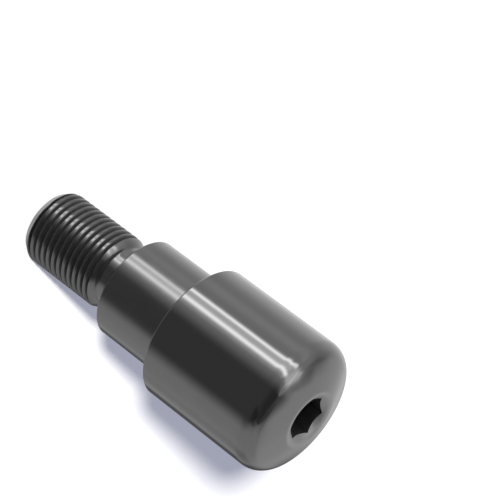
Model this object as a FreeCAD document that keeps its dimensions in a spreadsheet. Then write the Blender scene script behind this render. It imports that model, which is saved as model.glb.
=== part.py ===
import FreeCAD, Part
import math
import os
import Sketcher

# Bar end weight of a motorcycle handlebar, turned from one steel bar and modelled in millimetres.
# It stands on the free end of its thread, with +Z along its axis towards the domed nose.
# From the floor up: threaded shank with its relief, collar, weight, and the hex socket in the nose.

NODE = "bar_end_weight"

# Each driving size, written once: name, value and what it measures.
SIZES = (
    ("threadDiameter", 16.0, "over the crests of the thread"),
    ("threadPitch", 1.5, "one turn of the right-hand thread"),
    ("threadDepth", 0.82, "from crest to root"),
    ("threadFlankAngle", 60.0, "between the two flanks, in degrees"),
    ("threadLeadChamfer", 0.95, "45 degree chamfer on the free end"),
    ("shankLength", 24.0, "free end to the collar's rear face"),
    ("reliefDepth", 1.5, "from the crests down to the relief"),
    ("reliefWidth", 4.1, "plain part of the relief, up to the collar"),
    ("runoutAngle", 35.0, "cone between thread and relief, from the axis, in degrees"),
    ("collarDiameter", 21.4, "collar"),
    ("collarLength", 16.5, "collar's rear face to the weight's rear face"),
    ("collarRimChamfer", 0.45, "collar's rear rim"),
    ("weightDiameter", 28.4, "weight"),
    ("weightLength", 30.8, "weight's rear face to the top of the nose dome"),
    ("weightRimChamfer", 0.4, "weight's rear rim"),
    ("noseFilletRadius", 3.9, "between the weight's side and the dome"),
    ("noseDomeRadius", 29.0, "spherical face of the nose"),
    ("hexAcrossFlats", 8.0, "hex key size"),
    ("hexDepth", 10.0, "socket mouth to the end of the flats"),
    ("mouthDiameter", 11.0, "countersink where it meets the dome"),
    ("mouthAngle", 106.0, "countersink, in degrees"),
)

# Lengths that only help the cutting, in air outside the metal.
CUT_IN_AIR = 0.2
THREAD_LEAD_IN = 1.055
AIR_ABOVE_NOSE = 2.0

HEX_SIDES = 6
SAME_PLACE = 1e-4
LEAST_CUT = 1e-3

# Sketch reference numbers: the origin's point, and the two sketch axes.
ORIGIN = (-1, 1)
ACROSS_AXIS = -1
UP_AXIS = -2
START = 1
END = 2
CENTRE = 3


def addSizeSheet(doc):
    sheet = doc.addObject("Spreadsheet::Sheet", "Sizes")
    for row, (name, value, note) in enumerate(SIZES, start=1):
        sheet.set("A%d" % row, name)
        sheet.set("B%d" % row, str(value))
        sheet.set("C%d" % row, note)
        sheet.setAlias("B%d" % row, name)
    doc.recompute()
    return sheet


def originPlane(body, role):
    for feature in body.Origin.OriginFeatures:
        if feature.Role == role:
            return feature
    raise ValueError("the body has no plane " + role)


def addSketch(body, name, plane):
    sketch = body.newObject("Sketcher::SketchObject", name)
    sketch.AttachmentSupport = [(originPlane(body, plane), "")]
    sketch.MapMode = "FlatFace"
    return sketch


def tie(sketch, name, formula, kind, *items):
    # Adds a named dimension whose value follows a formula of the sheet's sizes.
    index = sketch.addConstraint(Sketcher.Constraint(kind, *items))
    sketch.renameConstraint(index, name)
    sketch.setExpression("Constraints." + name, formula)


def addLine(sketch, start, end):
    first = FreeCAD.Vector(start[0], start[1], 0)
    second = FreeCAD.Vector(end[0], end[1], 0)
    return sketch.addGeometry(Part.LineSegment(first, second), False)


def addArc(sketch, centre, radius, startAngle, endAngle):
    middle = FreeCAD.Vector(centre[0], centre[1], 0)
    circle = Part.Circle(middle, FreeCAD.Vector(0, 0, 1), radius)
    return sketch.addGeometry(Part.ArcOfCircle(circle, startAngle, endAngle), False)


def join(sketch, first, firstPoint, second, secondPoint):
    sketch.addConstraint(Sketcher.Constraint("Coincident", first, firstPoint, second, secondPoint))


def level(sketch, *lines):
    for line in lines:
        sketch.addConstraint(Sketcher.Constraint("Horizontal", line))


def upright(sketch, *lines):
    for line in lines:
        sketch.addConstraint(Sketcher.Constraint("Vertical", line))


def circleEdge(shape, radius, height):
    # Name of the full circle of this radius that lies at this height on the axis.
    for number, edge in enumerate(shape.Edges, start=1):
        curve = edge.Curve
        if isinstance(curve, Part.Circle) and abs(curve.Radius - radius) < SAME_PLACE:
            if abs(curve.Center.z - height) < SAME_PLACE:
                return "Edge%d" % number
    raise ValueError("no circle of radius %g at height %g" % (radius, height))


def turnBlank(body, size):
    # Half section of the whole turned piece, from the free end of the thread up to the nose.
    thread = size["threadDiameter"] / 2
    relief = thread - size["reliefDepth"]
    collar = size["collarDiameter"] / 2
    weight = size["weightDiameter"] / 2
    collarFace = size["shankLength"]
    weightFace = collarFace + size["collarLength"]
    apex = weightFace + size["weightLength"]

    reliefStart = collarFace - size["reliefWidth"]
    runoutStart = reliefStart - size["reliefDepth"] / math.tan(math.radians(size["runoutAngle"]))

    fillet = size["noseFilletRadius"]
    dome = size["noseDomeRadius"]
    domeCentre = apex - dome
    filletCentre = domeCentre + math.sqrt((dome - fillet) ** 2 - (weight - fillet) ** 2)
    noseTurn = math.atan2(filletCentre - domeCentre, weight - fillet)

    sketch = addSketch(body, "TurningProfile", "XZ_Plane")
    endFace = addLine(sketch, (0, 0), (thread, 0))
    crest = addLine(sketch, (thread, 0), (thread, runoutStart))
    runout = addLine(sketch, (thread, runoutStart), (relief, reliefStart))
    neck = addLine(sketch, (relief, reliefStart), (relief, collarFace))
    collarRear = addLine(sketch, (relief, collarFace), (collar, collarFace))
    collarSide = addLine(sketch, (collar, collarFace), (collar, weightFace))
    weightRear = addLine(sketch, (collar, weightFace), (weight, weightFace))
    weightSide = addLine(sketch, (weight, weightFace), (weight, filletCentre))
    noseFillet = addArc(sketch, (weight - fillet, filletCentre), fillet, 0, noseTurn)
    noseDome = addArc(sketch, (0, domeCentre), dome, noseTurn, math.pi / 2)
    axis = addLine(sketch, (0, apex), (0, 0))

    join(sketch, endFace, START, *ORIGIN)
    join(sketch, endFace, END, crest, START)
    join(sketch, crest, END, runout, START)
    join(sketch, runout, END, neck, START)
    join(sketch, neck, END, collarRear, START)
    join(sketch, collarRear, END, collarSide, START)
    join(sketch, collarSide, END, weightRear, START)
    join(sketch, weightRear, END, weightSide, START)
    join(sketch, noseDome, END, axis, START)
    join(sketch, axis, END, *ORIGIN)
    level(sketch, endFace, collarRear, weightRear)
    upright(sketch, crest, neck, collarSide, weightSide, axis)
    sketch.addConstraint(Sketcher.Constraint("Tangent", weightSide, END, noseFillet, START))
    sketch.addConstraint(Sketcher.Constraint("Tangent", noseFillet, END, noseDome, START))
    sketch.addConstraint(Sketcher.Constraint("PointOnObject", noseDome, CENTRE, UP_AXIS))

    tie(sketch, "threadRadius", "Sizes.threadDiameter / 2",
        "DistanceX", *ORIGIN, crest, START, thread)
    tie(sketch, "reliefRadius", "Sizes.threadDiameter / 2 - Sizes.reliefDepth",
        "DistanceX", *ORIGIN, neck, START, relief)
    tie(sketch, "reliefWidth", "Sizes.reliefWidth",
        "DistanceY", neck, START, neck, END, size["reliefWidth"])
    tie(sketch, "runoutLength", "Sizes.reliefDepth / tan(Sizes.runoutAngle * 1 deg)",
        "DistanceY", runout, START, runout, END, reliefStart - runoutStart)
    tie(sketch, "shankLength", "Sizes.shankLength",
        "DistanceY", *ORIGIN, neck, END, collarFace)
    tie(sketch, "collarRadius", "Sizes.collarDiameter / 2",
        "DistanceX", *ORIGIN, collarSide, START, collar)
    tie(sketch, "collarLength", "Sizes.collarLength",
        "DistanceY", collarSide, START, collarSide, END, size["collarLength"])
    tie(sketch, "weightRadius", "Sizes.weightDiameter / 2",
        "DistanceX", *ORIGIN, weightSide, START, weight)
    tie(sketch, "weightLength", "Sizes.weightLength",
        "DistanceY", weightSide, START, noseDome, END, size["weightLength"])
    tie(sketch, "noseFilletRadius", "Sizes.noseFilletRadius",
        "Radius", noseFillet, fillet)
    tie(sketch, "noseDomeRadius", "Sizes.noseDomeRadius",
        "Radius", noseDome, dome)

    blank = body.newObject("PartDesign::Revolution", "TurnedBlank")
    blank.Profile = sketch
    blank.ReferenceAxis = (sketch, ["V_Axis"])
    blank.Angle = 360
    body.Document.recompute()
    return blank


def breakEdge(body, kind, name, radius, height, sizeName):
    # Chamfers or rounds one turned corner of the solid made so far.
    base = body.Tip
    feature = body.newObject("PartDesign::" + kind, name)
    feature.Base = (base, [circleEdge(base.Shape, radius, height)])
    sizeProperty = "Size" if kind == "Chamfer" else "Radius"
    feature.setExpression(sizeProperty, "Sizes." + sizeName)
    body.Document.recompute()
    return feature


def mouthHeightFormula():
    apex = "Sizes.shankLength + Sizes.collarLength + Sizes.weightLength"
    drop = "Sizes.noseDomeRadius - sqrt(Sizes.noseDomeRadius ^ 2 - (Sizes.mouthDiameter / 2) ^ 2)"
    return apex + " - (" + drop + ")"


def mouthHeightOf(size):
    apex = size["shankLength"] + size["collarLength"] + size["weightLength"]
    dome = size["noseDomeRadius"]
    return apex - (dome - math.sqrt(dome ** 2 - (size["mouthDiameter"] / 2) ** 2))


def sinkMouth(body, size):
    # Countersink in the nose, turned as a full cone. The hex socket takes its point away.
    mouth = size["mouthDiameter"] / 2
    mouthHeight = mouthHeightOf(size)
    tip = mouthHeight - mouth / math.tan(math.radians(size["mouthAngle"] / 2))
    top = mouthHeight + AIR_ABOVE_NOSE

    sketch = addSketch(body, "MouthProfile", "XZ_Plane")
    lid = addLine(sketch, (0, top), (mouth, top))
    air = addLine(sketch, (mouth, top), (mouth, mouthHeight))
    cone = addLine(sketch, (mouth, mouthHeight), (0, tip))
    axis = addLine(sketch, (0, tip), (0, top))
    outline = (lid, air, cone, axis)
    for number, line in enumerate(outline):
        join(sketch, line, START, outline[number - 1], END)
    level(sketch, lid)
    upright(sketch, air, axis)
    sketch.addConstraint(Sketcher.Constraint("PointOnObject", axis, END, UP_AXIS))

    tie(sketch, "mouthRadius", "Sizes.mouthDiameter / 2",
        "DistanceX", *ORIGIN, air, END, mouth)
    tie(sketch, "mouthHeight", mouthHeightFormula(),
        "DistanceY", *ORIGIN, air, END, mouthHeight)
    tie(sketch, "airAboveNose", str(AIR_ABOVE_NOSE),
        "DistanceY", air, END, air, START, AIR_ABOVE_NOSE)
    tie(sketch, "coneDepth", "Sizes.mouthDiameter / 2 / tan(Sizes.mouthAngle / 2 * 1 deg)",
        "DistanceY", cone, END, cone, START, mouthHeight - tip)

    sink = body.newObject("PartDesign::Groove", "Countersink")
    sink.Profile = sketch
    sink.ReferenceAxis = (sketch, ["V_Axis"])
    sink.Angle = 360
    body.Document.recompute()
    return sink


def broachHex(body, size):
    # Six flats, two of them facing +Y and -Y, cut down from the plane of the mouth.
    corner = size["hexAcrossFlats"] / math.sqrt(3)
    sketch = addSketch(body, "HexProfile", "XY_Plane")
    sketch.setExpression("AttachmentOffset.Base.z", mouthHeightFormula())
    corners = []
    for number in range(HEX_SIDES):
        angle = 2 * math.pi * number / HEX_SIDES
        corners.append((corner * math.cos(angle), corner * math.sin(angle)))
    guide = sketch.addGeometry(
        Part.Circle(FreeCAD.Vector(0, 0, 0), FreeCAD.Vector(0, 0, 1), corner), True)
    join(sketch, guide, CENTRE, *ORIGIN)
    flats = [addLine(sketch, corners[n - 1], corners[n]) for n in range(HEX_SIDES)]
    for number, flat in enumerate(flats):
        join(sketch, flat, START, flats[number - 1], END)
        sketch.addConstraint(Sketcher.Constraint("PointOnObject", flat, START, guide))
    for flat in flats[1:]:
        sketch.addConstraint(Sketcher.Constraint("Equal", flats[0], flat))
    sketch.addConstraint(Sketcher.Constraint("PointOnObject", flats[0], START, ACROSS_AXIS))
    tie(sketch, "cornerRadius", "Sizes.hexAcrossFlats / sqrt(3)", "Radius", guide, corner)

    socket = body.newObject("PartDesign::Pocket", "HexSocket")
    socket.Profile = sketch
    socket.Type = 0
    socket.setExpression("Length", "Sizes.hexDepth")
    body.Document.recompute()
    return socket


def cutThread(body, size):
    # One groove of the thread's section, swept up a helix from air below the free end
    # until it leaves the metal in the relief.
    crest = size["threadDiameter"] / 2
    root = crest - size["threadDepth"]
    slope = math.tan(math.radians(size["threadFlankAngle"] / 2))
    outer = crest + CUT_IN_AIR
    halfMouth = (outer - root) * slope
    start = -THREAD_LEAD_IN

    sketch = addSketch(body, "ThreadGroove", "XZ_Plane")
    lower = addLine(sketch, (root, start), (outer, start - halfMouth))
    mouth = addLine(sketch, (outer, start - halfMouth), (outer, start + halfMouth))
    upper = addLine(sketch, (outer, start + halfMouth), (root, start))
    outline = (lower, mouth, upper)
    for number, line in enumerate(outline):
        join(sketch, line, END, outline[(number + 1) % len(outline)], START)
    upright(sketch, mouth)
    sketch.addConstraint(Sketcher.Constraint("Equal", lower, upper))

    tie(sketch, "rootRadius", "Sizes.threadDiameter / 2 - Sizes.threadDepth",
        "DistanceX", *ORIGIN, lower, START, root)
    tie(sketch, "grooveReach", "Sizes.threadDepth + " + str(CUT_IN_AIR),
        "DistanceX", lower, START, mouth, START, outer - root)
    tie(sketch, "grooveMouth",
        "2 * (Sizes.threadDepth + %s) * tan(Sizes.threadFlankAngle / 2 * 1 deg)" % CUT_IN_AIR,
        "DistanceY", mouth, START, mouth, END, 2 * halfMouth)
    tie(sketch, "leadIn", str(THREAD_LEAD_IN),
        "DistanceY", lower, START, *ORIGIN, THREAD_LEAD_IN)

    thread = body.newObject("PartDesign::SubtractiveHelix", "Thread")
    thread.Profile = sketch
    thread.ReferenceAxis = (sketch, ["V_Axis"])
    thread.Mode = 0
    thread.LeftHanded = False
    thread.Reversed = False
    thread.Angle = 0
    thread.Growth = 0
    thread.setExpression("Pitch", "Sizes.threadPitch")
    thread.setExpression("Height",
                         "Sizes.shankLength - Sizes.reliefWidth / 2 + " + str(THREAD_LEAD_IN))
    body.Document.recompute()
    return thread


def checkRemoved(before, feature):
    if feature.Shape.Volume > before - LEAST_CUT:
        raise ValueError(feature.Name + " removed nothing")
    return feature.Shape.Volume


def checkDocument(doc):
    for item in doc.Objects:
        if "Invalid" in item.State or "Error" in item.State:
            raise ValueError(item.Name + " failed: " + str(item.State))


def main():
    doc = FreeCAD.newDocument("BarEndWeight")
    addSizeSheet(doc)
    size = {name: value for name, value, note in SIZES}
    body = doc.addObject("PartDesign::Body", "BarEndWeight")
    body.Label = NODE

    threadRadius = size["threadDiameter"] / 2
    collarFace = size["shankLength"]
    weightFace = collarFace + size["collarLength"]

    volume = turnBlank(body, size).Shape.Volume
    breakEdge(body, "Chamfer", "ThreadLead", threadRadius, 0, "threadLeadChamfer")
    breakEdge(body, "Chamfer", "CollarRim", size["collarDiameter"] / 2, collarFace, "collarRimChamfer")
    breakEdge(body, "Chamfer", "WeightRim", size["weightDiameter"] / 2, weightFace, "weightRimChamfer")
    volume = checkRemoved(volume, sinkMouth(body, size))
    volume = checkRemoved(volume, broachHex(body, size))
    volume = checkRemoved(volume, cutThread(body, size))

    checkDocument(doc)
    shape = body.Shape
    if shape.isNull() or not shape.isValid() or len(shape.Solids) != 1:
        raise ValueError("the body is not one valid solid")
    os.makedirs("parts", exist_ok=True)
    shape.exportStep(os.path.join("parts", body.Label + ".step"))
    box = shape.optimalBoundingBox(False, False)
    print("volume %.1f mm3, height %.3f mm, width %.3f mm" % (volume, box.ZLength, box.XLength))


main()
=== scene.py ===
import bpy
import math
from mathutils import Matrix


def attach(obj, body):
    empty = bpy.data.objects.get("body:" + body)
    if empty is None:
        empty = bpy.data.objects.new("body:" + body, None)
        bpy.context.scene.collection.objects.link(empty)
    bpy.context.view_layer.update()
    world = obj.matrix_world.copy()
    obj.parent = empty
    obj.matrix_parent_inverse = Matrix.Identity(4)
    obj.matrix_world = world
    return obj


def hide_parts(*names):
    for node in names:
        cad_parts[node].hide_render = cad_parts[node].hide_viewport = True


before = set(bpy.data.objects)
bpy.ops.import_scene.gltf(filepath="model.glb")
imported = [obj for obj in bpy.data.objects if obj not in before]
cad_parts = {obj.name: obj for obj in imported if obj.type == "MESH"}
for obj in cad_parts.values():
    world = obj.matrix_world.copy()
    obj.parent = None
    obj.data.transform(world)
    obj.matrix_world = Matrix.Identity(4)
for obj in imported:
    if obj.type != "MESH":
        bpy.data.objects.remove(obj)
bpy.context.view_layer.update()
print("frame loaded, CAD nodes:", len(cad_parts))

mm = 0.001
white = (1, 1, 1, 1)
scene = bpy.context.scene


# Small helpers for the node trees.

def socketOf(sockets, key):
    # by identifier, or by name with _ for each space
    for socket in sockets:
        if socket.identifier == key or socket.name == key.replace("_", " "):
            return socket
    raise KeyError(key)


def feed(tree, node, key, value):
    # the value is a socket to link, or a plain number, colour or vector
    target = node.inputs[key] if isinstance(key, int) else socketOf(node.inputs, key)
    if isinstance(value, bpy.types.NodeSocket):
        tree.links.new(value, target)
    else:
        target.default_value = value


def addNode(tree, kind, settings=None, **inputs):
    node = tree.nodes.new(kind)
    for name, value in (settings or {}).items():
        setattr(node, name, value)
    for key, value in inputs.items():
        feed(tree, node, key, value)
    return node


def calc(tree, operation, *values):
    node = addNode(tree, "ShaderNodeMath", {"operation": operation})
    for place, value in enumerate(values):
        feed(tree, node, place, value)
    return node.outputs[0]


def between(tree, value, fromLow, fromHigh, toLow, toHigh, smooth=False):
    node = addNode(tree, "ShaderNodeMapRange", {"interpolation_type": "SMOOTHSTEP" if smooth else "LINEAR"})
    for place, item in enumerate((value, fromLow, fromHigh, toLow, toHigh)):
        feed(tree, node, place, item)
    return node.outputs[0]


def mixColour(tree, share, first, second):
    node = addNode(tree, "ShaderNodeMix", {"data_type": "RGBA"},
                   Factor_Float=share, A_Color=first, B_Color=second)
    return socketOf(node.outputs, "Result_Color")


def axisAndHeight(tree, position):
    # how far a position is from the axis, and how high
    split = addNode(tree, "ShaderNodeSeparateXYZ", Vector=position).outputs
    squares = [calc(tree, "MULTIPLY", split[side], split[side]) for side in ("X", "Y")]
    return calc(tree, "SQRT", calc(tree, "ADD", *squares)), split["Z"]


def emptyTree(owner):
    owner.use_nodes = True
    owner.node_tree.nodes.clear()
    return owner.node_tree


meshDetail = {
    "around": 192,          # faces round the axis, a multiple of six for the socket
    "threadTurn": 24,       # rows along one turn of the thread
    "edge": 5,              # steps along each tiny round
    "side": 12,             # rings up the weight's side
    "fillet": 22,
    "dome": 12,
    "lip": 10,
    "cone": 3,              # rows down the countersink
    "wall": 8,              # rows down the well
    "bottom": 4,            # rings across its bottom
    "sharpAngle": 40,       # degrees, edges steeper than this are shaded sharp
    "mergeWithin": 0.002,   # mm
}


# The turned outside, from the neck below the collar up to the socket's mouth.

turnedSizes = {             # mm
    "neckRadius": 6.5,
    "neckStart": 21.0,      # the thread's mesh ends here
    "collarFace": 24.0,
    "collarRadius": 10.7,
    "collarChamfer": 0.45,
    "weightFace": 40.5,
    "weightRadius": 14.2,
    "weightChamfer": 0.4,
    "noseTop": 71.3,        # where the dome would end without the socket
    "noseFillet": 3.9,
    "domeRadius": 29.0,
    "mouthRadius": 5.5,
    "edgeBreak": 0.09,      # tiny round on each turned edge
    "mouthRound": 1.9,      # soft lip between dome and countersink
    "sideInset": 0.5,       # the rings up the side start this far above the chamfer
    "endInset": 0.1,        # and the end face has a ring this far inside its rim
}


def arcPoints(centre, radius, first, last, steps):
    # points (radius, height) along an arc, both ends included
    points = []
    for step in range(steps + 1):
        angle = first + (last - first) * step / steps
        points.append((centre[0] + radius * math.cos(angle), centre[1] + radius * math.sin(angle)))
    return points


def toward(start, end):
    length = math.dist(start, end)
    return (end[0] - start[0]) / length, (end[1] - start[1]) / length


def moved(point, direction, distance):
    return point[0] + direction[0] * distance, point[1] + direction[1] * distance


def roundedCorner(before, corner, after, radius):
    # arc in place of a sharp corner, with a close point on each side that keeps the flats flat
    back = toward(corner, before)
    ahead = toward(corner, after)
    opening = math.acos(back[0] * ahead[0] + back[1] * ahead[1])
    reach = radius / math.tan(opening / 2)
    start = moved(corner, back, reach)
    end = moved(corner, ahead, reach)
    middle = (back[0] + ahead[0], back[1] + ahead[1])
    centre = moved(corner, middle, radius / math.sin(opening / 2) / math.hypot(*middle))
    first = math.atan2(start[1] - centre[1], start[0] - centre[0])
    last = math.atan2(end[1] - centre[1], end[0] - centre[0])
    turn = (last - first + math.pi) % math.tau - math.pi
    arc = arcPoints(centre, radius, first, first + turn, meshDetail["edge"])
    return [moved(start, back, radius)] + arc + [moved(end, ahead, radius)]


def mouthEdge(s):
    # where the dome and the countersink would meet without the lip
    rise = math.sqrt(s["domeRadius"] ** 2 - s["mouthRadius"] ** 2)
    return s["mouthRadius"], s["noseTop"] - s["domeRadius"] + rise


def lipArc(s, mouthAngle):
    # centre and end angles of the lip, which touches the dome and the countersink's cone
    lip = s["mouthRound"]
    domeCentre = s["noseTop"] - s["domeRadius"]
    down = math.radians(90 - mouthAngle / 2)
    radius, height = mouthEdge(s)
    across = radius + lip * math.sin(down)
    above = height - domeCentre - lip * math.cos(down)
    along = across * math.cos(down) + above * math.sin(down)
    slide = along - math.sqrt(along ** 2 - across ** 2 - above ** 2 + (s["domeRadius"] - lip) ** 2)
    across -= slide * math.cos(down)
    above -= slide * math.sin(down)
    return (across, domeCentre + above), math.atan2(above, across), math.pi / 2 + down


def turnedProfile(s, mouthAngle):
    # points (radius, height) from the neck to the socket's mouth
    fillet = s["noseFillet"]
    dome = s["domeRadius"]
    weight = s["weightRadius"]
    domeCentre = s["noseTop"] - dome
    filletCentre = domeCentre + math.sqrt((dome - fillet) ** 2 - (weight - fillet) ** 2)
    noseTurn = math.atan2(filletCentre - domeCentre, weight - fillet)
    sideFoot = s["weightFace"] + s["weightChamfer"]
    corners = [
        (s["neckRadius"], s["neckStart"]),
        (s["neckRadius"], s["collarFace"]),
        (s["collarRadius"] - s["collarChamfer"], s["collarFace"]),
        (s["collarRadius"], s["collarFace"] + s["collarChamfer"]),
        (s["collarRadius"], s["weightFace"]),
        (weight - s["weightChamfer"], s["weightFace"]),
        (weight, sideFoot),
        (weight, filletCentre),
    ]
    points = [corners[0]]
    for before, corner, after in zip(corners, corners[1:], corners[2:]):
        points += roundedCorner(before, corner, after, s["edgeBreak"])

    sideStart = sideFoot + s["sideInset"]
    for step in range(1, meshDetail["side"]):
        height = sideStart + (filletCentre - sideStart) * step / meshDetail["side"]
        points.append((weight, height))
    points += arcPoints((weight - fillet, filletCentre), fillet, 0, noseTurn, meshDetail["fillet"])

    # the fillet and the lip already have the two ends of the dome
    lipCentre, lipTurn, coneTurn = lipArc(s, mouthAngle)
    points += arcPoints((0, domeCentre), dome, noseTurn, lipTurn, meshDetail["dome"])[1:-1]
    points += arcPoints(lipCentre, s["mouthRound"], lipTurn, coneTurn, meshDetail["lip"])
    return points


def gridCoordinates(tree, rows, around):
    # turns a grid's vertex index into its row and its angle round the axis
    index = addNode(tree, "GeometryNodeInputIndex").outputs[0]
    clear = calc(tree, "ADD", index, 0.5)           # so that rounding can't reach the next column
    column = calc(tree, "FLOOR", calc(tree, "DIVIDE", clear, rows))
    row = calc(tree, "SUBTRACT", index, calc(tree, "MULTIPLY", column, rows))
    angle = calc(tree, "MULTIPLY", calc(tree, "DIVIDE", column, around), math.tau)
    return row, angle


def placeOnAxis(tree, around, rows, radius, angle, height):
    # a grid whose vertices are moved to radius, angle and height, all in mm
    columns = calc(tree, "ADD", around, 1)
    grid = addNode(tree, "GeometryNodeMeshGrid", Vertices_X=columns, Vertices_Y=rows).outputs["Mesh"]
    across = calc(tree, "MULTIPLY", radius, calc(tree, "COSINE", angle))
    along = calc(tree, "MULTIPLY", radius, calc(tree, "SINE", angle))
    place = addNode(tree, "ShaderNodeCombineXYZ", X=across, Y=along, Z=height).outputs[0]
    scaled = addNode(tree, "ShaderNodeVectorMath", {"operation": "SCALE"}, Vector=place, Scale=mm).outputs[0]
    return addNode(tree, "GeometryNodeSetPosition", Geometry=grid, Position=scaled).outputs[0]


def buildTurned(tree, profile, rows, around):
    # spins the profile's points round the axis
    row, angle = gridCoordinates(tree, rows, around)
    position = addNode(tree, "GeometryNodeInputPosition").outputs[0]
    sampled = addNode(tree, "GeometryNodeSampleIndex", {"data_type": "FLOAT_VECTOR", "domain": "POINT"},
                      Geometry=profile, Value=position, Index=row).outputs[0]
    split = addNode(tree, "ShaderNodeSeparateXYZ", Vector=sampled).outputs
    return placeOnAxis(tree, around, rows, split["X"], angle, split["Z"])


# The thread. Its groove follows a rule, so a node tree works it out.

threadSizes = {             # mm and degrees
    "crestRadius": 8.0,
    "pitch": 1.5,
    "depth": 0.82,
    "flankAngle": 60.0,
    "phase": 0.98,          # how far below the end face the groove starts, on +X
    "leadChamfer": 0.95,    # across the radius
    "leadLength": 1.4,      # along the axis
    "leadRound": 0.3,
    "grooveStart": 0.9,     # the groove deepens from here to grooveFull
    "grooveFull": 1.7,
    "grooveFade": 18.2,     # and runs out from here to grooveGone
    "grooveGone": 19.2,
    "crestRound": 0.20,
    "rootRound": 0.14,
    "shoulderStart": 18.0,
    "shoulderLength": 1.95,
    "shoulderDrop": 1.5,    # across the radius, over the shoulder's length
    "shoulderBend": 1.6,    # 1 is a straight cone, more is rounder
    "neckRound": 0.35,
}


def grooveRadius(tree, size, height, turnShare):
    # a V groove, rounded at its root
    lead = calc(tree, "DIVIDE", calc(tree, "ADD", height, size["phase"]), size["pitch"])
    nearest = calc(tree, "PINGPONG", calc(tree, "SUBTRACT", lead, turnShare), 0.5)      # in turns
    fromGroove = calc(tree, "MULTIPLY", nearest, size["pitch"])
    steepness = calc(tree, "TANGENT", calc(tree, "RADIANS", calc(tree, "DIVIDE", size["flankAngle"], 2)))
    root = calc(tree, "SUBTRACT", size["crestRadius"], size["depth"])
    flank = calc(tree, "ADD", root, calc(tree, "DIVIDE", fromGroove, steepness))
    flank = calc(tree, "SMOOTH_MAX", flank, root, size["rootRound"])

    # it deepens behind the lead chamfer and runs out before the shoulder
    shallow = between(tree, height, size["grooveStart"], size["grooveFull"], size["depth"], 0, True)
    runOut = between(tree, height, size["grooveFade"], size["grooveGone"], 0, size["depth"], True)
    return calc(tree, "ADD", calc(tree, "ADD", flank, shallow), runOut)


def blankRadius(tree, size, height):
    # lead chamfer, crest and the round shoulder, which sinks into the neck
    untilCrest = calc(tree, "SUBTRACT", 1, calc(tree, "DIVIDE", height, size["leadLength"]))
    chamfer = calc(tree, "MULTIPLY", untilCrest, size["leadChamfer"])
    chamfer = calc(tree, "SUBTRACT", size["crestRadius"], chamfer)
    past = calc(tree, "SUBTRACT", height, size["shoulderStart"])
    past = calc(tree, "MAXIMUM", calc(tree, "DIVIDE", past, size["shoulderLength"]), 0)
    fallen = calc(tree, "MULTIPLY", calc(tree, "POWER", past, size["shoulderBend"]), size["shoulderDrop"])
    shoulder = calc(tree, "SUBTRACT", size["crestRadius"], fallen)
    shoulder = calc(tree, "SMOOTH_MAX", shoulder, turnedSizes["neckRadius"], size["neckRound"])
    return calc(tree, "SMOOTH_MIN", shoulder, chamfer, size["leadRound"])


def buildThread(tree, size, around):
    # each row climbs with the helix, from one turn below the end face up to the neck
    top = turnedSizes["neckStart"]
    perTurn = meshDetail["threadTurn"]
    rows = round(perTurn * (top / threadSizes["pitch"] + 1)) + 1
    row, angle = gridCoordinates(tree, rows, around)
    turnShare = calc(tree, "DIVIDE", angle, math.tau)
    turns = calc(tree, "ADD", calc(tree, "DIVIDE", row, perTurn), turnShare)
    height = calc(tree, "MULTIPLY", calc(tree, "SUBTRACT", turns, 1), size["pitch"])
    height = calc(tree, "MINIMUM", calc(tree, "MAXIMUM", height, 0), top)

    # the metal ends at the blank or at the groove, whichever is nearer to the axis
    blank = blankRadius(tree, size, height)
    groove = grooveRadius(tree, size, height, turnShare)
    radius = calc(tree, "SMOOTH_MIN", blank, groove, size["crestRound"])
    return placeOnAxis(tree, around, rows, radius, angle, height)


def endProfile(rim, inset):
    # the flat free end of the thread
    return [(0, 0), (rim / 2, 0), (rim - inset, 0), (rim, 0)]


# The hex socket in its countersink.

socketSizes = {             # mm and degrees
    "acrossFlats": 8.0,
    "depth": 10.0,          # from where dome and countersink would meet
    "mouthAngle": 106.0,
}


def hexRadius(tree, angle, acrossFlats):
    # how far the hexagon is from the axis at this angle
    sixth = math.tau / 6
    fromFlat = calc(tree, "SUBTRACT", calc(tree, "FLOORED_MODULO", angle, sixth), sixth / 2)
    return calc(tree, "DIVIDE", calc(tree, "DIVIDE", acrossFlats, 2), calc(tree, "COSINE", fromFlat))


def coneHeight(tree, size, mouth, radius):
    # height at which the countersink has this radius
    mouthTurn = calc(tree, "RADIANS", calc(tree, "DIVIDE", size["mouthAngle"], 2))
    inward = calc(tree, "SUBTRACT", mouth[0], radius)
    return calc(tree, "SUBTRACT", mouth[1], calc(tree, "DIVIDE", inward, calc(tree, "TANGENT", mouthTurn)))


def buildCountersink(tree, size, around, mouth):
    # a round mouth that narrows to the hexagon
    rows = meshDetail["cone"] + 1
    row, angle = gridCoordinates(tree, rows, around)
    inward = calc(tree, "SUBTRACT", hexRadius(tree, angle, size["acrossFlats"]), mouth[0])
    share = calc(tree, "DIVIDE", row, rows - 1)
    radius = calc(tree, "ADD", mouth[0], calc(tree, "MULTIPLY", inward, share))
    return placeOnAxis(tree, around, rows, radius, angle, coneHeight(tree, size, mouth, radius))


def buildWell(tree, size, around, mouth):
    # six flats from the countersink down to a flat bottom
    wall = meshDetail["wall"]
    rows = wall + meshDetail["bottom"] + 1
    row, angle = gridCoordinates(tree, rows, around)
    inner = hexRadius(tree, angle, size["acrossFlats"])
    bottom = calc(tree, "SUBTRACT", mouthEdge(turnedSizes)[1], size["depth"])
    height = between(tree, row, 0, wall, coneHeight(tree, size, mouth, inner), bottom)
    radius = calc(tree, "MULTIPLY", inner, between(tree, row, wall, rows - 1, 1, 0))
    return placeOnAxis(tree, around, rows, radius, angle, height)


# Finishes of the one dark steel. The three depths are shares of the pattern's bump.

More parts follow.
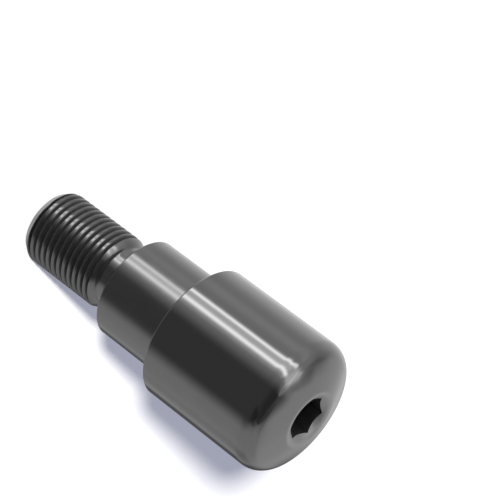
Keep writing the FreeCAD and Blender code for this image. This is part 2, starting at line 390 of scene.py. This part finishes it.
finishes = {
    "weight": {
        "colour": (0.16, 0.16, 0.16), "roughness": 0.085, "unevenness": 0.015,
        "waveDepth": 0.6, "ringDepth": 0.01, "grainDepth": 0.01,
    },
    "collar": {
        "colour": (0.16, 0.16, 0.16), "roughness": 0.185, "unevenness": 0.02,
        "waveDepth": 0.6, "ringDepth": 0.02, "grainDepth": 0.01,
    },
    "thread": {             # duller down in the groove and painted darker there as shade, deepFrom and deepTo in mm
        "colour": (0.135, 0.135, 0.135), "roughness": 0.14, "unevenness": 0.03, "edgeTint": 0.75,
        "waveDepth": 0.0, "ringDepth": 0.02, "grainDepth": 0.03,
        # deepColour here is painted shade in the groove; deepRoughness is the groove's duller finish
        "deepColour": (0.10, 0.10, 0.10), "deepRoughness": 0.60, "deepFrom": 7.93, "deepTo": 7.65,
    },
    "countersink": {        # duller and paler towards the hexagon
        "colour": (0.16, 0.16, 0.16), "roughness": 0.085, "unevenness": 0.015,
        "waveDepth": 0.6, "ringDepth": 0.01, "grainDepth": 0.01,
        "deepColour": (0.27, 0.27, 0.27), "deepRoughness": 0.50, "deepFrom": 6.6, "deepTo": 5.2,
    },
    "well": {
        "colour": (0.17, 0.17, 0.17), "roughness": 0.42, "unevenness": 0.08,
        "waveDepth": 0.0, "ringDepth": 0.05, "grainDepth": 0.10,
    },
}

patterns = {
    "ring": {"Scale": 9000.0, "Detail": 3.0},                       # turning marks round the axis
    "grain": {"Scale": 6000.0, "Detail": 4.0},
    "cloud": {"Scale": 160.0, "Detail": 5.0, "Roughness": 0.6},     # colour and roughness follow it
    "wave": {"Scale": 260.0, "Detail": 1.0},                        # unevenness of the polish
}

patternUse = {
    "cloudLow": 0.3,        # the roughness is at its least and its most here
    "cloudHigh": 0.7,
    "shade": 0.07,          # share by which the colour goes down and up
    "bump": 0.01,           # mm
}


def gunmetal(name, look):
    material = bpy.data.materials.new(name)
    tree = emptyTree(material)
    place = addNode(tree, "ShaderNodeTexCoord").outputs["Object"]
    fromAxis, height = axisAndHeight(tree, place)
    roundAxis = addNode(tree, "ShaderNodeCombineXYZ", X=fromAxis, Z=height).outputs[0]
    noise = {}
    for key, values in patterns.items():
        where = roundAxis if key == "ring" else place
        noise[key] = addNode(tree, "ShaderNodeTexNoise", Vector=where, **values).outputs[0]

    low = look["roughness"] - look["unevenness"]
    high = look["roughness"] + look["unevenness"]
    roughness = between(tree, noise["cloud"], patternUse["cloudLow"], patternUse["cloudHigh"], low, high)
    dark = tuple(part * (1 - patternUse["shade"]) for part in look["colour"]) + (1,)
    light = tuple(part * (1 + patternUse["shade"]) for part in look["colour"]) + (1,)
    colour = mixColour(tree, noise["cloud"], dark, light)
    if "deepColour" in look:
        # towards the axis the colour goes over to deepColour: in the thread this is painted shade down in the
        # groove, in the countersink a paler tone
        deep = between(tree, fromAxis, look["deepFrom"] * mm, look["deepTo"] * mm, 0, 1, True)
        colour = mixColour(tree, deep, colour, look["deepColour"] + (1,))
        duller = calc(tree, "MULTIPLY", deep, look["deepRoughness"] - look["roughness"])
        roughness = calc(tree, "ADD", roughness, duller)

    bump = patternUse["bump"] * mm
    wave = addNode(tree, "ShaderNodeBump", Height=noise["wave"], Strength=look["waveDepth"], Distance=bump)
    ring = addNode(tree, "ShaderNodeBump", Height=noise["ring"], Strength=look["ringDepth"], Distance=bump,
                   Normal=wave.outputs[0])
    grain = addNode(tree, "ShaderNodeBump", Height=noise["grain"], Strength=look["grainDepth"], Distance=bump,
                    Normal=ring.outputs[0])
    edge = look.get("edgeTint", 1.0)
    steel = addNode(tree, "ShaderNodeBsdfPrincipled", Base_Color=colour, Metallic=1.0, Roughness=roughness,
                    Specular_Tint=(edge, edge, edge, 1), Normal=grain.outputs[0])
    addNode(tree, "ShaderNodeOutputMaterial", Surface=steel.outputs[0])
    return material


# The whole piece: five forms in one tree, each face marked with the number of its finish.

finishBorders = {                                       # mm
    "leadTop": threadSizes["leadLength"] - 0.1,         # the lead chamfer has the collar's finish
    "threadTop": threadSizes["shoulderStart"] + 0.4,    # and so have shoulder, neck and collar
    "weightFoot": turnedSizes["weightFace"] - 0.05,
    "lipRadius": finishes["countersink"]["deepFrom"],   # inside it the nose has the countersink's finish
}


def treeInputs(tree):
    # named inputs for the profile and for each size of the thread and the socket
    sockets = tree.interface
    sockets.new_socket("Profile", in_out="INPUT", socket_type="NodeSocketGeometry")
    around = sockets.new_socket("around", in_out="INPUT", socket_type="NodeSocketInt")
    around.default_value = meshDetail["around"]
    for form, sizes in (("thread ", threadSizes), ("socket ", socketSizes)):
        for key, value in sizes.items():
            item = sockets.new_socket(form + key, in_out="INPUT", socket_type="NodeSocketFloat")
            item.default_value = value
    sockets.new_socket("Geometry", in_out="OUTPUT", socket_type="NodeSocketGeometry")
    given = addNode(tree, "NodeGroupInput").outputs
    thread = {key: given["thread " + key] for key in threadSizes}
    socket = {key: given["socket " + key] for key in socketSizes}
    return given["Profile"], given["around"], thread, socket


def splitProfile(tree, profile, endPoints):
    # the first points of the profile are the end face, the others the turned outside
    index = addNode(tree, "GeometryNodeInputIndex").outputs[0]
    isOutside = addNode(tree, "FunctionNodeCompare", {"data_type": "INT", "operation": "GREATER_EQUAL"},
                        A_INT=index, B_INT=endPoints)
    parts = addNode(tree, "GeometryNodeSeparateGeometry", {"domain": "POINT"},
                    Geometry=profile, Selection=isOutside.outputs[0])
    return parts.outputs["Inverted"], parts.outputs["Selection"]


def choose(tree, value, border, below, above):
    # one finish up to the border, another beyond it
    isAbove = calc(tree, "GREATER_THAN", value, finishBorders[border] * mm)
    return between(tree, isAbove, 0, 1, below, above)


def joinForms(tree, forms):
    joined = addNode(tree, "GeometryNodeJoinGeometry")
    for geometry, finish in reversed(forms):
        marked = addNode(tree, "GeometryNodeStoreNamedAttribute", {"data_type": "INT", "domain": "FACE"},
                         Geometry=geometry, Name="finish", Value=finish)
        tree.links.new(marked.outputs[0], joined.inputs[0])
    merged = addNode(tree, "GeometryNodeMergeByDistance", Geometry=joined.outputs[0],
                     Distance=meshDetail["mergeWithin"] * mm)
    smooth = addNode(tree, "GeometryNodeSetShadeSmooth", Geometry=merged.outputs[0])
    edgeAngle = addNode(tree, "GeometryNodeInputMeshEdgeAngle").outputs[0]
    steep = calc(tree, "GREATER_THAN", edgeAngle, math.radians(meshDetail["sharpAngle"]))
    return addNode(tree, "GeometryNodeSetShadeSmooth", {"domain": "EDGE"},
                   Geometry=smooth.outputs[0], Selection=steep, Shade_Smooth=False).outputs[0]


def setFinishes(tree, geometry, materials):
    marked = addNode(tree, "GeometryNodeInputNamedAttribute", {"data_type": "INT"}, Name="finish").outputs[0]
    for number, material in enumerate(materials):
        isThis = calc(tree, "COMPARE", marked, number, 0.1)     # the numbers are whole
        geometry = addNode(tree, "GeometryNodeSetMaterial", Geometry=geometry, Selection=isThis,
                           Material=material).outputs[0]
    return geometry


def pieceTree(materials, endPoints, outsidePoints, mouth):
    tree = bpy.data.node_groups.new("turnedWeight", "GeometryNodeTree")
    profile, around, thread, socket = treeInputs(tree)
    endFace, outside = splitProfile(tree, profile, endPoints)
    fromAxis, height = axisAndHeight(tree, addNode(tree, "GeometryNodeInputPosition").outputs[0])
    number = {key: place for place, key in enumerate(materials)}

    threadFinish = choose(tree, height, "threadTop", number["thread"], number["collar"])
    threadFinish = choose(tree, height, "leadTop", number["collar"], threadFinish)
    noseFinish = choose(tree, fromAxis, "lipRadius", number["countersink"], number["weight"])
    outsideFinish = choose(tree, height, "weightFoot", number["collar"], noseFinish)
    forms = (
        (buildTurned(tree, endFace, endPoints, around), number["thread"]),
        (buildThread(tree, thread, around), threadFinish),
        (buildTurned(tree, outside, outsidePoints, around), outsideFinish),
        (buildCountersink(tree, socket, around, mouth), number["countersink"]),
        (buildWell(tree, socket, around, mouth), number["well"]),
    )
    geometry = joinForms(tree, forms)
    geometry = addNode(tree, "GeometryNodeRealizeInstances", Geometry=geometry).outputs[0]
    geometry = setFinishes(tree, geometry, materials.values())
    addNode(tree, "NodeGroupOutput", Geometry=geometry)
    return tree


def buildPiece():
    materials = {key: gunmetal(key + "Gunmetal", look) for key, look in finishes.items()}
    endFace = endProfile(threadSizes["crestRadius"] - threadSizes["leadChamfer"], turnedSizes["endInset"])
    outside = turnedProfile(turnedSizes, socketSizes["mouthAngle"])
    mesh = bpy.data.meshes.new("profile")
    mesh.from_pydata([(radius, 0, height) for radius, height in endFace + outside], [], [])
    piece = bpy.data.objects.new("barEndWeight", mesh)
    scene.collection.objects.link(piece)

    tree = pieceTree(materials, len(endFace), len(outside), outside[-1])
    modifier = piece.modifiers.new("turnedWeight", "NODES")
    modifier.node_group = tree
    for item in tree.interface.items_tree:
        if item.in_out == "INPUT" and item.socket_type != "NodeSocketGeometry":
            modifier[item.identifier] = item.default_value

    # a plain mesh takes the place of the profile and its modifier
    evaluated = piece.evaluated_get(bpy.context.evaluated_depsgraph_get())
    finished = bpy.data.meshes.new_from_object(evaluated)
    finished.name = "barEndWeight"
    finished.attributes.remove(finished.attributes["finish"])
    piece.modifiers.remove(modifier)
    piece.data = finished
    return piece


weight = buildPiece()
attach(weight, "root")
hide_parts("bar_end_weight")
print("bar end weight built:", len(weight.data.vertices), "points,", len(weight.data.polygons), "faces")


floorLook = {
    "colour": (0.90, 0.90, 0.90),
    "size": 4.0,                # m
    "cameraLift": 0.12,         # white added for the camera alone
}


def buildFloor(look):
    half = look["size"] / 2
    corners = [(-half, -half, 0), (half, -half, 0), (half, half, 0), (-half, half, 0)]
    mesh = bpy.data.meshes.new("floor")
    mesh.from_pydata(corners, [], [(0, 1, 2, 3)])
    floor = bpy.data.objects.new("floor", mesh)
    scene.collection.objects.link(floor)
    floor.visible_glossy = False

    material = bpy.data.materials.new("paleFloor")
    tree = emptyTree(material)
    matte = addNode(tree, "ShaderNodeBsdfDiffuse", Color=look["colour"] + (1,))
    seen = addNode(tree, "ShaderNodeLightPath").outputs["Is Camera Ray"]
    strength = calc(tree, "MULTIPLY", seen, look["cameraLift"])
    lift = addNode(tree, "ShaderNodeEmission", Color=white, Strength=strength)
    both = addNode(tree, "ShaderNodeAddShader", Shader=matte.outputs[0], Shader_001=lift.outputs[0])
    addNode(tree, "ShaderNodeOutputMaterial", Surface=both.outputs[0])
    mesh.materials.append(material)
    return floor


buildFloor(floorLook)
print("floor built")


# The studio is what the metal reflects, worked out from the direction alone. Azimuth runs
# round the part from 0 towards the camera. Both angles are in degrees.

studioLook = {
    "facing": -92.5,                    # where the camera stands
    "level": 0.80,                      # of the bare room
    "fillColour": (0.69, 0.735, 1.0),   # soft light on the floor
    "fillStrength": 0.38,
}

# Boxes add light. Above the elevation bendFrom, lean tilts and spread widens a box.

studioBoxes = {
    "whiteWall": dict(centre=-146, width=66, edge=30, low=-110, high=16, fade=40, add=0.32),
    "backWall": dict(centre=180, width=70, edge=20, low=22, high=80, fade=36, add=0.25),
    "paleSide": dict(centre=-80, width=16, edge=14, low=-95, high=36, fade=12, add=0.18),
    "softBox": dict(centre=-45, width=22, edge=6, low=-45, high=34, fade=10, add=1.25),
    "softTop": dict(centre=-46, width=32, edge=8, low=34, high=54, fade=12, add=0.85,
                    bendFrom=32, lean=-0.45, spread=0.2),
    "softCap": dict(centre=-59, width=52, edge=16, low=54, high=79, fade=12, add=1.28,
                    bendFrom=54, lean=-0.75),
    "nearRim": dict(centre=-35.9, width=6.6, edge=7, low=-45, high=44, fade=24, add=3.2,
                    bendFrom=32, lean=-0.28),
    "nearGlow": dict(centre=-29.5, width=6, edge=8, low=-45, high=48, fade=24, add=0.6,
                     bendFrom=30, lean=-0.3),
    "farRim": dict(centre=-51.7, width=4.5, edge=5, low=-45, high=42, fade=20, add=3.1,
                   bendFrom=15, lean=-0.45, spread=0.2),
    "overhead": dict(centre=-116, width=60, edge=24, low=62, high=79, fade=6, add=1.25),
    "floorGlow": dict(centre=0, width=400, edge=10, low=-110, high=-60, fade=14, add=0.35),
}

# Flags keep only a share of it.

studioFlags = {
    "darkFlag": dict(centre=25.5, width=81, edge=28, low=-60, high=110, fade=10, keep=0.21),
    "cornerFlag": dict(centre=46, width=28, edge=8, low=15, high=46, fade=26, keep=0.55,
                       bendFrom=25, lean=0.9),
    "sideFlag": dict(centre=67, width=14, edge=12, low=48, high=70, fade=10, keep=0.30,
                     bendFrom=50, lean=1.0, spread=2.0),
    "capShade": dict(centre=105, width=56, edge=20, low=58, high=75, fade=20, keep=0.60,
                     bendFrom=50, lean=1.2),
    "upperFlag": dict(centre=30, width=110, edge=30, low=38, high=115, fade=40, keep=0.62),
    "ceiling": dict(centre=128, width=130, edge=30, low=67.5, high=110, fade=12, keep=0.27),
    "noseShade": dict(centre=-132, width=36, edge=20, low=35, high=58, fade=16, keep=0.60),
    "leftShade": dict(centre=-118, width=34, edge=16, low=16, high=42, fade=26, keep=0.80),
    "rightShade": dict(centre=128, width=26, edge=16, low=-28, high=8, fade=20, keep=0.66),
    "floorGap": dict(centre=160, width=32, edge=16, low=-45, high=2, fade=26, keep=0.18),
    "farFloor": dict(centre=180, width=32, edge=16, low=-70, high=-4, fade=16, keep=0.64),
    "capEdge": dict(centre=-150, width=14, edge=8, low=50, high=69, fade=8, keep=0.68,
                    bendFrom=54, lean=-0.6),
}


def directionShare(tree, azimuth, elevation, box):
    # 1 inside the box, 0 outside, with soft edges
    inner = (box["width"] - box["edge"]) / 2
    outer = (box["width"] + box["edge"]) / 2
    soft = box["fade"] / 2
    if "bendFrom" in box:
        spread = box.get("spread", 0) / 2
        past = calc(tree, "MAXIMUM", calc(tree, "SUBTRACT", elevation, box["bendFrom"]), 0)
        azimuth = calc(tree, "SUBTRACT", azimuth, calc(tree, "MULTIPLY", past, box["lean"]))
        inner = calc(tree, "MULTIPLY_ADD", past, spread, inner)
        outer = calc(tree, "MULTIPLY_ADD", past, spread, outer)
    away = calc(tree, "PINGPONG", calc(tree, "SUBTRACT", azimuth, box["centre"]), 180)
    side = between(tree, away, inner, outer, 1, 0, True)
    bottom = between(tree, elevation, box["low"] - soft, box["low"] + soft, 0, 1, True)
    top = between(tree, elevation, box["high"] - soft, box["high"] + soft, 1, 0, True)
    return calc(tree, "MULTIPLY", side, calc(tree, "MULTIPLY", bottom, top))


def buildStudio(look):
    world = bpy.data.worlds.new("studio")
    scene.world = world
    world.cycles.sampling_method = "NONE"       # the fill is even, so it needs no light map
    tree = emptyTree(world)
    direction = addNode(tree, "ShaderNodeTexCoord").outputs["Generated"]
    turned = addNode(tree, "ShaderNodeVectorRotate", {"rotation_type": "Z_AXIS"},
                     Vector=direction, Angle=math.radians(-look["facing"])).outputs[0]
    split = addNode(tree, "ShaderNodeSeparateXYZ", Vector=turned).outputs
    azimuth = calc(tree, "DEGREES", calc(tree, "ARCTAN2", split["Y"], split["X"]))
    elevation = calc(tree, "DEGREES", calc(tree, "ARCSINE", split["Z"]))
    level = look["level"]
    for box in studioBoxes.values():
        share = directionShare(tree, azimuth, elevation, box)
        level = calc(tree, "MULTIPLY_ADD", share, box["add"], level)
    for flag in studioFlags.values():
        share = directionShare(tree, azimuth, elevation, flag)
        level = calc(tree, "MULTIPLY", level, between(tree, share, 0, 1, 1, flag["keep"]))

    path = addNode(tree, "ShaderNodeLightPath").outputs
    reflected = addNode(tree, "ShaderNodeBackground", Color=white, Strength=level)
    fill = addNode(tree, "ShaderNodeBackground", Color=look["fillColour"] + (1,),
                   Strength=look["fillStrength"])
    backdrop = addNode(tree, "ShaderNodeBackground", Color=white, Strength=1.0)
    room = addNode(tree, "ShaderNodeMixShader", Fac=path["Is Glossy Ray"],
                   Shader=fill.outputs[0], Shader_001=reflected.outputs[0])
    final = addNode(tree, "ShaderNodeMixShader", Fac=path["Is Camera Ray"],
                    Shader=room.outputs[0], Shader_001=backdrop.outputs[0])
    addNode(tree, "ShaderNodeOutputWorld", Surface=final.outputs[0])


# A distant soft lamp gives the floor its shadow.

keyLamp = {
    "azimuth": -98.0,           # degrees, as the two below
    "elevation": 26.0,
    "spread": 3.4,
    "strength": 6.0,
    "colour": (1.0, 0.98, 0.93),
}


def buildKey(look):
    data = bpy.data.lights.new("keyLamp", "SUN")
    data.angle = math.radians(look["spread"])
    data.energy = look["strength"]
    data.color = look["colour"]
    lamp = bpy.data.objects.new("keyLamp", data)
    scene.collection.objects.link(lamp)
    lamp.rotation_euler = (math.radians(90 - look["elevation"]), 0, math.radians(look["azimuth"] + 90))
    lamp.visible_glossy = False
    lamp.visible_camera = False


buildStudio(studioLook)
buildKey(keyLamp)
print("lights built")


cameraPlace = {
    "location": (-17.015, -389.711, 246.082),      # mm
    "rotation": (-47.9157, -45.6828, 147.4316),    # degrees
    "lens": 165.6,
    "sensor": 36.0,
    "nearest": 10.0,                               # mm, nothing nearer is seen
    "farthest": 20000.0,
}


def buildCamera(place):
    data = bpy.data.cameras.new("camera")
    data.lens = place["lens"]
    data.sensor_width = place["sensor"]
    data.clip_start = place["nearest"] * mm
    data.clip_end = place["farthest"] * mm
    camera = bpy.data.objects.new("camera", data)
    scene.collection.objects.link(camera)
    camera.location = [part * mm for part in place["location"]]
    camera.rotation_euler = [math.radians(angle) for angle in place["rotation"]]
    scene.camera = camera


buildCamera(cameraPlace)
scene.view_settings.view_transform = "Standard"
print("camera placed")
